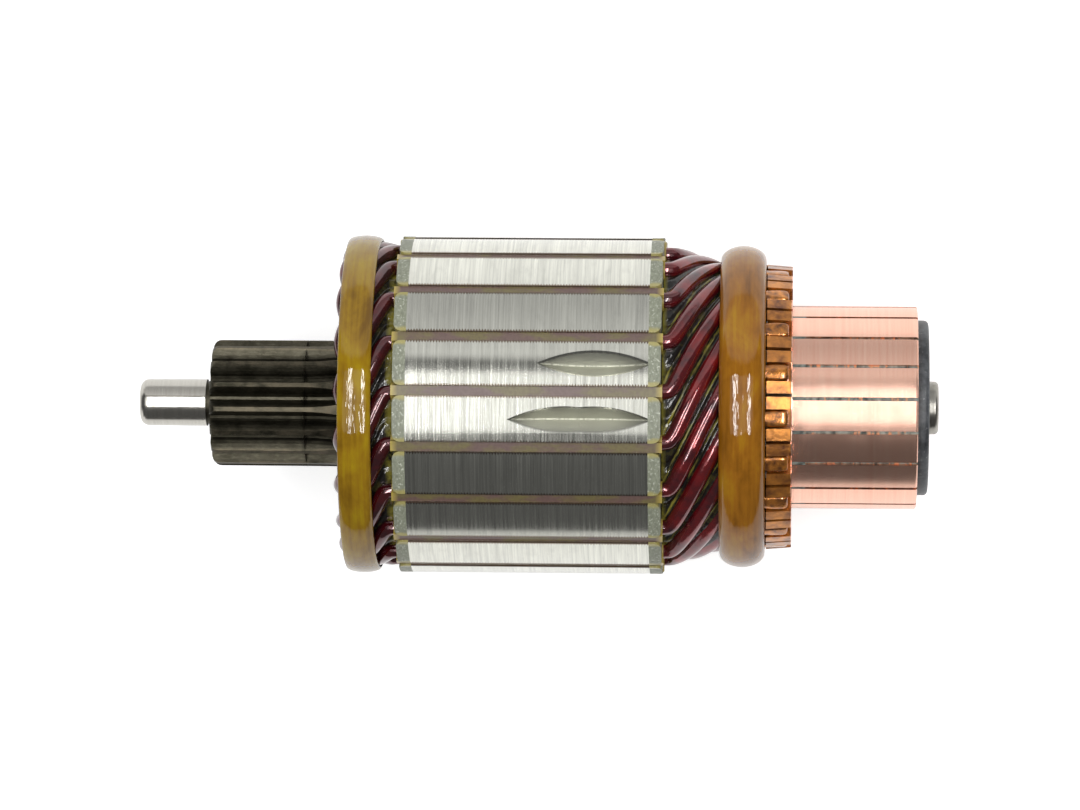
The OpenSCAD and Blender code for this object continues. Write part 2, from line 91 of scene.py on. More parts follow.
logging.basicConfig(level=logging.INFO, format="%(message)s", stream=sys.stdout)
log = logging.getLogger("armature")

MM = 0.001
BODY = "root"
SLOTS = 19
PITCH = math.tau / SLOTS
BLACK = (0.0, 0.0, 0.0)

Colour = tuple[float, float, float]
Vector3 = tuple[float, float, float]

# Stretch of the marks that a turning tool leaves round the shaft
TURNING: Vector3 = (2700, 60, 60)


def hairpin_name(index: int) -> str:
    """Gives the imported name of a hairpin, counted from 0."""
    return f"hairpin_{index + 1:02d}"


def bar_name(index: int) -> str:
    """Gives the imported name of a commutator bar, counted from 0."""
    return f"commutator_bar_{index + 1:02d}"


def mixed(low: Colour, high: Colour, share: float) -> Colour:
    """Blends two colours.

    Args:
        low: Colour at a share of 0.
        high: Colour at a share of 1.
        share: How far to go from low to high.

    Returns:
        The blended colour.
    """
    return tuple(a + (b - a) * share for a, b in zip(low, high))


class Wire:
    """An output socket whose operators add Math nodes to its tree."""

    def __init__(self, tree: "Tree", socket: bpy.types.NodeSocket) -> None:
        """Wraps a socket.

        Args:
            tree: Tree that the socket belongs to.
            socket: Output socket of one of the tree's nodes.
        """
        self.tree = tree
        self.socket = socket

    def _math(self, operation: str, *values: "Wire | float", clamp: bool = False) -> "Wire":
        """Adds a Math node for an operation on values."""
        settings = {"operation": operation, "use_clamp": clamp}
        return self.tree.node("ShaderNodeMath", settings, dict(enumerate(values)))

    def __add__(self, other: "Wire | float") -> "Wire":
        """Adds a value."""
        return self._math("ADD", self, other)

    def __radd__(self, other: float) -> "Wire":
        """Adds a number on the left."""
        return self._math("ADD", other, self)

    def __sub__(self, other: "Wire | float") -> "Wire":
        """Takes a value away."""
        return self._math("SUBTRACT", self, other)

    def __rsub__(self, other: float) -> "Wire":
        """Takes this value from a number."""
        return self._math("SUBTRACT", other, self)

    def __mul__(self, other: "Wire | float") -> "Wire":
        """Multiplies by a value."""
        return self._math("MULTIPLY", self, other)

    def __rmul__(self, other: float) -> "Wire":
        """Multiplies a number by this value."""
        return self._math("MULTIPLY", other, self)

    def __truediv__(self, other: "Wire | float") -> "Wire":
        """Divides by a value."""
        return self._math("DIVIDE", self, other)

    def __abs__(self) -> "Wire":
        """Drops the sign."""
        return self._math("ABSOLUTE", self)

    def above(self, edge: float, width: float) -> "Wire":
        """Gives a soft mask of what lies above an edge.

        Args:
            edge: Value at which the mask is a half.
            width: Distance over which the mask goes from 0 to 1.

        Returns:
            A value from 0 to 1.
        """
        return self._math("ADD", (self - edge) / width, 0.5, clamp=True)

    def within(self, low: float, high: float, width: float) -> "Wire":
        """Gives a soft mask of what lies between two edges."""
        return self.above(low, width) - self.above(high, width)

    def floor(self) -> "Wire":
        """Rounds down."""
        return self._math("FLOOR", self)

    def off_centre(self) -> "Wire":
        """Gives the distance to the nearest whole number, from 0 to a half."""
        return abs(self - (self + 0.5).floor())

    def limited(self) -> "Wire":
        """Holds the value between 0 and 1."""
        return self._math("ADD", self, 0.0, clamp=True)


class Tree:
    """A node tree that a finish, the floor or the sky is written into."""

    def __init__(self, tree: bpy.types.NodeTree) -> None:
        """Empties a node tree.

        Args:
            tree: Node tree of a material or a world.
        """
        self.tree = tree
        self.tree.nodes.clear()

    def node(self, kind: str, settings: dict[str, object] | None = None,
             inputs: dict[int | str, object] | None = None, output: int | str = 0) -> Wire:
        """Adds a node.

        Args:
            kind: Type of the node.
            settings: Properties that are set before its sockets; a key of stops fills a ramp.
            inputs: Values or wires of its sockets, by index or name.
            output: Output that is given back, by index or name.

        Returns:
            The chosen output.
        """
        made = self.tree.nodes.new(kind)
        for key, value in (settings or {}).items():
            if key == "stops":
                elements = made.color_ramp.elements
                while len(elements) < len(value):
                    elements.new(0.5)
                for element, (place, colour) in zip(elements, value):
                    element.position = place
                    element.color = (*colour, 1.0)
            else:
                setattr(made, key, value)
        for key, value in (inputs or {}).items():
            if isinstance(value, Wire):
                self.tree.links.new(value.socket, made.inputs[key])
            elif isinstance(value, tuple) and made.inputs[key].type == "RGBA":
                made.inputs[key].default_value = (*value, 1.0)
            else:
                made.inputs[key].default_value = value
        return Wire(self, made.outputs[output]) if made.outputs else Wire(self, None)

    def place(self) -> Wire:
        """Gives the place on the piece, in metres, in the armature's own frame."""
        return self.node("ShaderNodeTexCoord", output="Object")

    def parts(self, vector: Wire) -> tuple[Wire, Wire, Wire]:
        """Splits a vector.

        Args:
            vector: Vector to split.

        Returns:
            Its X, Y and Z.
        """
        split = self.node("ShaderNodeSeparateXYZ", inputs={0: vector})
        outputs = split.socket.node.outputs
        return tuple(Wire(self, outputs[k]) for k in range(3))

    def radius(self, vector: Wire) -> Wire:
        """Gives the distance from the shaft's axis."""
        flat = self.node("ShaderNodeVectorMath", {"operation": "MULTIPLY"},
                         {0: vector, 1: (0.0, 1.0, 1.0)})
        return self.node("ShaderNodeVectorMath", {"operation": "LENGTH"}, {0: flat}, "Value")

    def turn(self, vector: Wire) -> Wire:
        """Gives the angle round the shaft from +Z towards -Y, in radians."""
        _, y, z = self.parts(vector)
        return self.node("ShaderNodeMath", {"operation": "ARCTAN2"}, {0: y * -1.0, 1: z})

    def along_wires(self, vector: Wire, lean: float, radius: float) -> Wire:
        """Gives coordinates along and across the outer wires beyond the core.

        Args:
            vector: Place on the piece.
            lean: Angle from the shaft's direction to the wires', in radians.
            radius: Radius at which the wires are laid flat.

        Returns:
            A vector of the distances along and across, with 0 as its third part.
        """
        x, _, _ = self.parts(vector)
        arc = self.turn(vector) * radius
        along = x * math.cos(lean) - arc * math.sin(lean)
        across = x * math.sin(lean) + arc * math.cos(lean)
        return self.node("ShaderNodeCombineXYZ", inputs={0: along, 1: across})

    def noise(self, vector: Wire, scale: float, detail: float = 2.0, rough: float = 0.5,
              warp: float = 0.0) -> Wire:
        """Gives cloudy values around a half."""
        return self.node("ShaderNodeTexNoise", inputs={
            "Vector": vector, "Scale": scale, "Detail": detail, "Roughness": rough,
            "Distortion": warp})

    def grain(self, vector: Wire, stretch: Vector3, detail: float, rough: float,
              warp: float = 0.0) -> Wire:
        """Gives cloudy values that are drawn out, like grain, rings or streaks.

        Args:
            vector: Coordinates of the pattern.
            stretch: How many clouds lie in a metre, along each coordinate.
            detail: Octaves of finer clouds.
            rough: Strength of each octave beside the one before.
            warp: How far the clouds are stirred.

        Returns:
            A value around a half.
        """
        placed = self.node("ShaderNodeMapping", inputs={0: vector, "Scale": stretch})
        return self.noise(placed, 1.0, detail, rough, warp)

    def colours(self, factor: Wire | float, low: Wire | Colour, high: Wire | Colour) -> Wire:
        """Mixes two colours.

        Args:
            factor: How much of the second colour shows.
            low: First colour.
            high: Second colour.

        Returns:
            The mixed colour.
        """
        return self.node("ShaderNodeMix", {"data_type": "RGBA"},
                         {0: factor, 6: low, 7: high}, 2)

    def ramp(self, value: Wire, stops: Sequence[tuple[float, Colour]]) -> Wire:
        """Turns a value into a colour by stops along the way."""
        return self.node("ShaderNodeValToRGB", {"stops": stops}, {0: value})

    def principled(self, inputs: dict[int | str, object]) -> Wire:
        """Gives the surface shader of a finish."""
        return self.node("ShaderNodeBsdfPrincipled", inputs=inputs)

    def bump(self, height: Wire, depth: float, under: Wire | None = None) -> Wire:
        """Raises a relief.

        Args:
            height: Height from 0 to 1.
            depth: Height of 1 in metres.
            under: Relief that this one lies on.

        Returns:
            The normal.
        """
        inputs: dict[int | str, object] = {"Height": height, "Distance": depth, "Strength": 1.0}
        if under is not None:
            inputs["Normal"] = under
        return self.node("ShaderNodeBump", inputs=inputs)


class Finish:
    """What every finish shares: the making of its material around one surface shader."""

    def material(self) -> bpy.types.Material:
        """Makes the finish's material, or finds it if it is made already.

        Returns:
            The material.
        """
        name = type(self).__name__
        found = bpy.data.materials.get(name)
        if found is not None:
            return found
        made = bpy.data.materials.new(name)
        made.use_nodes = True
        tree = Tree(made.node_tree)
        surface = self.surface(tree)
        tree.node("ShaderNodeOutputMaterial", inputs={"Surface": surface})
        return made

    def surface(self, tree: Tree) -> Wire:
        """Writes the finish's nodes and gives back the surface shader."""
        raise NotImplementedError


@dataclass(frozen=True)
class ShaftSteel(Finish):
    """Ground journals and dark hardened teeth, with tips lightened in patches: partly wear, partly
    a painted glint.
    """

    ground: Colour = (0.62, 0.60, 0.55)
    hardened: Colour = (0.040, 0.037, 0.026)
    # Tip colour: partly wear, partly a painted glint.
    rubbed: Colour = (0.15, 0.125, 0.085)
    bare: Colour = (0.17, 0.155, 0.115)
    gear_from: float = -59.8 * MM
    gear_to: float = -20 * MM
    rear_from: float = 60 * MM
    tip_radius: float = 11.1 * MM

    def surface(self, tree: Tree) -> Wire:
        """Writes the steel's nodes.

        Args:
            tree: Tree of the material.

        Returns:
            The surface shader.
        """
        place = tree.place()
        x, _, _ = tree.parts(place)
        radius = tree.radius(place)
        gear = x.within(self.gear_from, self.gear_to, 0.1 * MM)
        stub = x.above(self.rear_from, 0.2 * MM)
        tip = radius.above(self.tip_radius, 0.25 * MM)
        rings = tree.grain(place, TURNING, 2.0, 0.6)
        cloud = tree.noise(place, 340, 4.0, 0.65)
        grain = tree.grain(place, (700, 2600, 2600), 3.0, 0.7)
        flank = tree.colours(cloud.above(0.5, 0.3), self.hardened,
                             mixed(self.hardened, self.bare, 0.3))
        flank = tree.colours(grain.above(0.6, 0.2) * 0.35, flank, self.bare)
        # Lighter patches on the tooth tips: partly wear, partly a painted glint on the narrow tips.
        teeth = tree.colours(tip * cloud.above(0.5, 0.3) * 0.6, flank, self.rubbed)
        end = tree.colours(cloud, mixed(self.bare, BLACK, 0.35), self.ground)
        journal = tree.colours(rings, mixed(self.ground, self.bare, 0.4), self.ground)
        colour = tree.colours(gear, tree.colours(stub, journal, end), teeth)
        rough = (0.2 + gear * 0.27 + stub * 0.1) + (cloud - 0.5) * 0.12
        relief = tree.bump(rings * (1 - gear), 0.012 * MM)
        relief = tree.bump(cloud * gear, 0.05 * MM, relief)
        return tree.principled({
            "Base Color": colour, "Metallic": 1.0, "Roughness": rough, "Normal": relief})


@dataclass(frozen=True)
class CoreSteel(Finish):
    """Turned laminations, whose sheets show as fine rings and as toothed slot edges."""

    bright: Colour = (0.80, 0.80, 0.72)
    dull: Colour = (0.43, 0.43, 0.39)
    inner: Colour = (0.20, 0.18, 0.15)
    stain: Colour = (0.21, 0.16, 0.12)
    milled: Colour = (0.42, 0.42, 0.36)
    inner_radius: float = 27.6 * MM
    core_radius: float = 30.2 * MM
    mouth: float = 0.9 * MM
    sheet: float = 0.5 * MM

    def surface(self, tree: Tree) -> Wire:
        """Writes the steel's nodes.

        Args:
            tree: Tree of the material.

        Returns:
            The surface shader.
        """
        place = tree.place()
        x, _, _ = tree.parts(place)
        radius = tree.radius(place)
        inside = 1 - radius.above(self.inner_radius, 0.4 * MM)
        turned = radius.above(self.core_radius - 0.35 * MM, 0.1 * MM)
        slots = (tree.turn(place) / PITCH + 0.5).off_centre() * (PITCH * self.core_radius)
        teeth = (x / self.sheet).off_centre() * 2.0
        burr = tree.grain(place, (900, 40, 40), 1.0, 0.5) * 0.5 + 0.5
        bite = 1 - (slots - (teeth * burr) * (0.62 * MM)).above(self.mouth, 0.06 * MM)
        rings = tree.grain(place, TURNING, 2.0, 0.7)
        sheets = tree.grain(place, (3200, 40, 40), 2.0, 0.6)
        smears = tree.grain(place, (700, 260, 260), 3.0, 0.6)
        colour = tree.colours((rings * 0.5 + sheets * 0.5).above(0.44, 0.5), self.dull, self.bright)
        colour = tree.colours(smears.above(0.62, 0.2) * 0.3, colour, self.dull)
        colour = tree.colours((bite * turned).limited(), colour, self.stain)
        tooth = PITCH * self.core_radius / 2
        notch = (1 - radius.above(self.core_radius - 0.2 * MM, 0.08 * MM)) * (
            slots.above(self.mouth + 0.3 * MM, 0.1 * MM))
        cutter = slots.above(tooth - 0.16 * MM, 0.1 * MM) * rings.above(0.4, 0.2)
        colour = tree.colours(notch, colour, tree.colours(cutter * 0.7, self.milled, self.bright))
        colour = tree.colours(inside, colour, self.inner)
        rough = 0.135 + (sheets - 0.4) * 0.16 + (1 - turned) * 0.12 + notch * 0.15
        relief = tree.bump(rings, 0.010 * MM)
        jags = tree.grain(place, (2400, 480, 480), 2.0, 0.6)
        relief = tree.bump(jags, 0.003 * MM, relief)
        return tree.principled({
            "Base Color": colour, "Metallic": 1.0, "Roughness": rough, "Normal": relief})


@dataclass(frozen=True)
class PlateFibre(Finish):
    """Sawn fibre board, speckled, with varnish that has yellowed it beside the slots."""

    pale: Colour = (0.30, 0.32, 0.24)
    dark: Colour = (0.17, 0.18, 0.13)
    fleck: Colour = (0.58, 0.60, 0.50)
    yellowed: Colour = (0.40, 0.34, 0.08)
    core_radius: float = 30.2 * MM
    mouth: float = 1.5 * MM
    slot_floor: float = 21.5 * MM

    def surface(self, tree: Tree) -> Wire:
        """Writes the board's nodes.

        Args:
            tree: Tree of the material.

        Returns:
            The surface shader.
        """
        place = tree.place()
        grain = tree.grain(place, (2200, 1100, 1100), 4.0, 0.7)
        flecks = tree.grain(place, (3000, 2000, 2000), 2.0, 0.6)
        cloud = tree.noise(place, 500, 3.0, 0.6)
        slots = (tree.turn(place) / PITCH + 0.5).off_centre() * (PITCH * self.core_radius)
        stained = 1 - (slots - cloud * (1.2 * MM)).above(self.mouth - 0.5 * MM, 0.6 * MM)
        stained = stained * tree.radius(place).above(self.slot_floor, 1.2 * MM)
        colour = tree.colours(grain.above(0.5, 0.4), self.dark, self.pale)
        colour = tree.colours(flecks.above(0.64, 0.12), colour, self.fleck)
        colour = tree.colours(stained * 0.75, colour, self.yellowed)
        relief = tree.bump(grain, 0.05 * MM)
        return tree.principled({
            "Base Color": colour, "Roughness": 0.42 + grain * 0.2, "Normal": relief,
            "Coat Weight": stained * 0.8 + 0.1, "Coat Roughness": 0.1})


@dataclass(frozen=True)
class Film(Finish):
    """Slot liners: insulating film soaked in varnish, mauve-brown to olive."""

    mauve: Colour = (0.150, 0.092, 0.078)
    olive: Colour = (0.165, 0.135, 0.052)
    clean: Colour = (0.52, 0.40, 0.07)
    core_from: float = -24.35 * MM
    core_to: float = 22.55 * MM

    def surface(self, tree: Tree) -> Wire:
        """Writes the film's nodes.

        Args:
            tree: Tree of the material.

        Returns:
            The surface shader.
        """
        place = tree.place()
        x, _, _ = tree.parts(place)
        cuff = 1 - x.within(self.core_from + 0.3 * MM, self.core_to - 0.3 * MM, 1.2 * MM)
        cloud = tree.grain(place, (150, 420, 420), 3.0, 0.6)
        fine = tree.grain(place, (1800, 1500, 1500), 3.0, 0.6)
        colour = tree.colours(cloud.above(0.5, 0.16), self.mauve, self.olive)
        colour = tree.colours(fine.above(0.55, 0.3) * 0.35, colour, mixed(self.mauve, BLACK, 0.5))
        colour = tree.colours(cuff * 0.8, colour, self.clean)
        relief = tree.bump(cloud, 0.10 * MM)
        return tree.principled({
            "Base Color": colour, "Roughness": 0.34 + fine * 0.2,
            "Normal": tree.bump(fine, 0.02 * MM, relief), "Coat Weight": 0.8,
            "Coat Roughness": 0.14})


@dataclass(frozen=True)
class PooledVarnish(Finish):
    """Varnish pooled between the wires, over a yellow sheet that shows where it is thin."""

    black: Colour = (0.010, 0.009, 0.008)
    olive: Colour = (0.048, 0.040, 0.010)
    yellow: Colour = (0.22, 0.19, 0.03)
    lean: float = math.radians(62.6)
    mean_radius: float = 24.5 * MM
    start: float = 24.3 * MM
    core_from: float = -24.4 * MM
    core_to: float = 22.6 * MM

    def surface(self, tree: Tree) -> Wire:
        """Writes the varnish's nodes.

        Args:
            tree: Tree of the material.

        Returns:
            The surface shader.
        """
        place = tree.place()
        x, _, _ = tree.parts(place)
        flat = tree.along_wires(place, self.lean, self.mean_radius)
        streaks = tree.grain(flat, (160, 1100, 1), 3.0, 0.6)
        cloud = tree.noise(place, 420, 3.0, 0.6)
        lean = math.tan(self.lean) / self.mean_radius
        phase = (tree.turn(place) + (x - self.start) * lean) / PITCH
        middle = (phase + (cloud - 0.5) * 0.14).off_centre()
        behind = x.above(0.0, 1 * MM)
        line = (1 - middle.above(0.05, 0.05)) * streaks.above(0.52, 0.14) * behind
        edge = x.within(self.core_from - 1.2 * MM, self.core_to + 0.6 * MM, 0.8 * MM)
        edge = edge * cloud.above(0.42, 0.2)
        colour = tree.colours(cloud.above(0.60, 0.2), self.black, self.olive)
        colour = tree.colours((line + edge).limited(), colour, self.yellow)
        relief = tree.bump(streaks, 0.08 * MM)
        relief = tree.bump(tree.noise(place, 800, 2.0, 0.5), 0.10 * MM, relief)
        return tree.principled({
            "Base Color": colour, "Roughness": 0.05, "Normal": relief})


@dataclass(frozen=True)
class WireEnamel(Finish):
    """Dark red enamel under bumpy varnish, and orange-brown varnished copper in the risers."""

    deep: Colour = (0.030, 0.007, 0.012)
    lit: Colour = (0.25, 0.008, 0.010)
    # Share of painted shade on the front end winding.
    front_dark: float = 0.55
    copper: Colour = (0.66, 0.24, 0.03)
    burnt: Colour = (0.15, 0.045, 0.008)
    riser_from: float = 40.9 * MM
    lean: float = math.radians(62.6)
    mean_radius: float = 25.5 * MM

    def surface(self, tree: Tree) -> Wire:
        """Writes the enamel's nodes.

        Args:
            tree: Tree of the material.

        Returns:
            The surface shader.
        """
        place = tree.place()
        x, _, _ = tree.parts(place)
        riser = x.above(self.riser_from, 0.2 * MM)
        flat = tree.along_wires(place, self.lean, self.mean_radius)
        streaks = tree.grain(flat, (210, 900, 1), 2.0, 0.55)
        cloud = tree.noise(place, 260, 3.0, 0.6)
        drops = tree.noise(place, 900, 2.0, 0.5)
        # Painted shade: the front end winding, ahead of x = -22 mm, is darkened towards black for
        # the shade in the narrow gap between the front band and the end plate.
        front_gap_shade = (1 - x.above(-22 * MM, 1 * MM)) * self.front_dark
        red = tree.colours(cloud.above(0.5, 0.45), self.deep, self.lit)
        red = tree.colours(front_gap_shade, red, mixed(self.deep, BLACK, 0.5))
        pillow = tree.colours(drops.above(0.5, 0.4), self.burnt, self.copper)
        colour = tree.colours(riser, red, pillow)
        relief = tree.bump(streaks, 0.045 * MM)
        relief = tree.bump(drops, 0.05 * MM, relief)
        threads = tree.grain(flat, (420, 2600, 1), 1.0, 0.5)
        relief = tree.bump(threads, 0.018 * MM, relief)
        return tree.principled({
            "Base Color": colour, "Metallic": 0.5 + riser * 0.2,
            "Roughness": 0.13 + riser * 0.1 + (cloud - 0.5) * 0.1, "Normal": relief,
            "IOR": 1.8, "Coat Weight": 0.5, "Coat Roughness": 0.05, "Coat IOR": 1.7})


class BandTone(Enum):
    """Which of the two winding bands a resin is mixed for."""

    OLIVE = "Olive"
    AMBER = "Amber"


@dataclass(frozen=True)
class BandResin(Finish):
    """Glossy brown resin over glass tape, with fine ripples that run round it.

    Attributes:
        tone: Which band it is for.
        rear_middle: Station of the rear band's crown.
        flat_width: How far from the crown the rear band is flatter, in millimetres.
        flat_depth: Relief that makes it so, in metres for each square millimetre.
    """

    tone: BandTone = BandTone.AMBER
    rear_middle: float = 36.5 * MM
    flat_width: float = 2.5
    flat_depth: float = 0.06 * MM

    def material(self) -> bpy.types.Material:
        """Makes the resin's material under its tone's name."""
        made = super().material()
        made.name = type(self).__name__ + self.tone.value
        return made

    def surface(self, tree: Tree) -> Wire:
        """Writes the resin's nodes.

        Args:
            tree: Tree of the material.

        Returns:
            The surface shader.
        """
        place = tree.place()
        dark, mid, light = ((0.15, 0.072, 0.002), (0.27, 0.150, 0.006), (0.36, 0.24, 0.006))
        if self.tone is BandTone.AMBER:
            dark, mid, light = ((0.16, 0.058, 0.002), (0.29, 0.112, 0.007), (0.38, 0.19, 0.008))
        cloud = tree.grain(place, (190, 80, 80), 4.0, 0.6, 0.4)
        tape = tree.grain(place, (1500, 60, 60), 2.0, 0.5)
        colour = tree.ramp(cloud * 0.75 + tape * 0.25, [(0.34, dark), (0.5, mid), (0.66, light)])
        ripples = tree.grain(place, (900, 190, 190), 1.0, 0.5)
        relief = tree.bump(ripples, 0.05 * MM)
        relief = tree.bump(tree.noise(place, 160, 1.0, 0.5), 0.05 * MM, relief)
        strands = tree.grain(place, (2600, 330, 330), 1.0, 0.5)
        relief = tree.bump(strands, 0.034 * MM, relief)
        if self.tone is BandTone.AMBER:
            off = (tree.parts(place)[0] - self.rear_middle) / MM
            square = off * off
            relief = tree.bump(square / (1 + square / self.flat_width ** 2), self.flat_depth,
                               relief)
        return tree.principled({
            "Base Color": colour, "Roughness": 0.05, "Normal": relief})


@dataclass(frozen=True)
class BarCopper(Finish):
    """Turned copper on the track, with varnish that has browned the risers."""

    pink: Colour = (0.99, 0.64, 0.50)
    deep: Colour = (0.92, 0.50, 0.37)
    varnished: Colour = (0.64, 0.24, 0.035)
    burnt: Colour = (0.12, 0.035, 0.012)
    riser_end: float = 45.45 * MM
    floor_radius: float = 18.4 * MM

    def surface(self, tree: Tree) -> Wire:
        """Writes the copper's nodes.

        Args:
            tree: Tree of the material.

        Returns:
            The surface shader.
        """
        place = tree.place()
        x, _, _ = tree.parts(place)
        cloud = tree.noise(place, 380, 4.0, 0.6)
        riser = (1 - (x + (cloud - 0.5) * (0.5 * MM)).above(self.riser_end, 0.15 * MM))
        riser = riser * tree.radius(place).above(self.floor_radius, 0.3 * MM)
        rings = tree.grain(place, TURNING, 2.0, 0.6)
        bands = tree.grain(place, (1300, 25, 25), 2.0, 0.6)
        turned = tree.colours((rings * 0.6 + bands * 0.4).above(0.5, 0.6), self.deep, self.pink)
        stained = tree.colours(cloud.above(0.47, 0.35), self.burnt, self.varnished)
        colour = tree.colours(riser, turned, stained)
        relief = tree.bump(rings, 0.012 * MM)
        beads = tree.noise(place, 1300, 2.0, 0.5)
        relief = tree.bump((cloud + beads * 0.5) * riser, 0.12 * MM, relief)
        return tree.principled({
            "Base Color": colour, "Metallic": 1.0 - riser * 0.3,
            "Roughness": 0.23 + riser * 0.07 + (cloud - 0.5) * 0.1, "Normal": relief,
            "Coat Weight": riser * 0.5, "Coat Roughness": 0.05, "IOR": 1.8})


@dataclass(frozen=True)
class MicaSheet(Finish):
    """Grey-green mica, torn in the undercut grooves, with copper dust on it."""

    pale: Colour = (0.30, 0.34, 0.30)
    dark: Colour = (0.035, 0.045, 0.04)
    dust: Colour = (0.62, 0.30, 0.15)

    def surface(self, tree: Tree) -> Wire:
        """Writes the mica's nodes.

        Args:
            tree: Tree of the material.

        Returns:
            The surface shader.
        """
        place = tree.place()
        x, _, _ = tree.parts(place)
        cloud = tree.grain(place, (900, 700, 700), 3.0, 0.6)
        specks = tree.grain(place, (1300, 500, 500), 2.0, 0.6)
        groove = x.above(47.8 * MM, 0.4 * MM)
        colour = tree.colours(cloud.above(0.5, 0.3), self.dark, self.pale)
        colour = tree.colours(specks.above(0.6, 0.1) * groove, colour, self.dust)
        return tree.principled({
            "Base Color": colour, "Roughness": 0.5 + cloud * 0.2,
            "Normal": tree.bump(cloud, 0.08 * MM)})


@dataclass(frozen=True)
class HubMoulding(Finish):
    """Glass-filled phenolic moulding, dark grey and mottled."""

    dark: Colour = (0.022, 0.024, 0.028)
    pale: Colour = (0.13, 0.14, 0.15)

    def surface(self, tree: Tree) -> Wire:
        """Writes the moulding's nodes.

        Args:
            tree: Tree of the material.

        Returns:
            The surface shader.
        """
        place = tree.place()
        cloud = tree.noise(place, 300, 5.0, 0.65)
        flecks = tree.noise(place, 1900, 2.0, 0.5)
        colour = tree.colours(cloud.above(0.55, 0.35), self.dark, self.pale)
        colour = tree.colours(flecks.above(0.7, 0.1) * 0.6, colour, (0.3, 0.31, 0.32))
        return tree.principled({
            "Base Color": colour, "Roughness": 0.34 + cloud * 0.2,
            "Normal": tree.bump(cloud, 0.04 * MM)})


@dataclass(frozen=True)
class InnerSteel(Finish):
    """Turned mild steel that shows only in the hub's recess."""

    bright: Colour = (0.45, 0.45, 0.46)

    def surface(self, tree: Tree) -> Wire:
        """Writes the steel's nodes.

        Args:
            tree: Tree of the material.

        Returns:
            The surface shader.
        """
        place = tree.place()
        rings = tree.grain(place, (4000, 90, 90), 2.0, 0.6)
        colour = tree.colours(rings, mixed(self.bright, BLACK, 0.4), self.bright)
        return tree.principled({
            "Base Color": colour, "Metallic": 1.0, "Roughness": 0.3,
            "Normal": tree.bump(rings, 0.008 * MM)})


@dataclass(frozen=True)
class RingGlass(Finish):
    """Wound glass fibre in resin, sealed in the hub."""

    pale: Colour = (0.60, 0.57, 0.42)

    def surface(self, tree: Tree) -> Wire:
        """Writes the ring's nodes.

        Args:
            tree: Tree of the material.

        Returns:
            The surface shader.
        """
        place = tree.place()
        threads = tree.grain(place, (5000, 200, 200), 2.0, 0.6)
        colour = tree.colours(threads, mixed(self.pale, BLACK, 0.4), self.pale)
        return tree.principled({
            "Base Color": colour, "Roughness": 0.5, "Normal": tree.bump(threads, 0.03 * MM)})


def dress(piece: bpy.types.Object, finish: Finish) -> None:
    """Gives a piece one finish all over.

    Args:
        piece: Piece to dress.
        finish: Finish that it gets.
    """
    piece.data.materials.clear()
    piece.data.materials.append(finish.material())
    log.info("%s: %s, %d faces", piece.name, type(finish).__name__, len(piece.data.polygons))


def start_from(source: bpy.types.Object, name: str) -> bpy.types.Object:
    """Makes a new piece from a copy of another's mesh and makes it the one at work.

    Args:
        source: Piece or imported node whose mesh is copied.
        name: Name of the new piece.

    Returns:
        The new piece, selected and active.
    """
    piece = bpy.data.objects.new(name, source.data.copy())
    bpy.context.scene.collection.objects.link(piece)
    take_up(piece)
    if piece.data.has_custom_normals:
        bpy.ops.mesh.customdata_custom_splitnormals_clear()
    return piece


def take_up(piece: bpy.types.Object) -> None:
    """Deselects everything and takes one piece up for work.

    Args:
        piece: Piece that becomes selected and active.
    """
    for other in bpy.context.view_layer.objects:
        other.select_set(False)
    piece.select_set(True)
    bpy.context.view_layer.objects.active = piece


def pick_faces(piece: bpy.types.Object, wanted: Callable[[bmesh.types.BMFace], bool]) -> None:
    """Selects faces in edit mode and nothing else.

    Args:
        piece: Piece that is being edited.
        wanted: Test that a face has to pass.
    """
    bpy.ops.mesh.select_mode(type="FACE")
    bpy.ops.mesh.select_all(action="DESELECT")
    mesh = bmesh.from_edit_mesh(piece.data)
    for face in mesh.faces:
        if wanted(face):
            face.select_set(True)
    bmesh.update_edit_mesh(piece.data)


def apply_modifier(piece: bpy.types.Object, kind: str, **settings: object) -> None:
    """Adds a modifier to a piece and applies it.

    Args:
        piece: Piece at work.
        kind: Type of the modifier.
        settings: Its properties.
    """
    modifier = piece.modifiers.new(kind.title(), kind)
    for key, value in settings.items():
        setattr(modifier, key, value)
    bpy.ops.object.modifier_apply(modifier=modifier.name)


def rounded(node: str, angle: float = 30.0) -> bpy.types.Object:
    """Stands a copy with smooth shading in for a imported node.

    Args:
        node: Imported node.
        angle: Edges sharper than this stay sharp, in degrees.

    Returns:
        The smooth copy.
    """
    piece = start_from(frame["nodes"][node], f"{node}_round")
    bpy.ops.object.mode_set(mode="EDIT")
    bpy.ops.mesh.select_all(action="SELECT")
    bpy.ops.mesh.remove_doubles(threshold=0.0005 * MM)
    bpy.ops.object.mode_set(mode="OBJECT")
    bpy.ops.object.shade_smooth_by_angle(angle=math.radians(angle))
    stand_for(piece, node)
    return piece


def stand_for(piece: bpy.types.Object, node: str) -> None:
    """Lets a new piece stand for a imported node.

    Args:
        piece: New piece.
        node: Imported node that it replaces.
    """
    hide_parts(node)
    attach(piece, BODY)


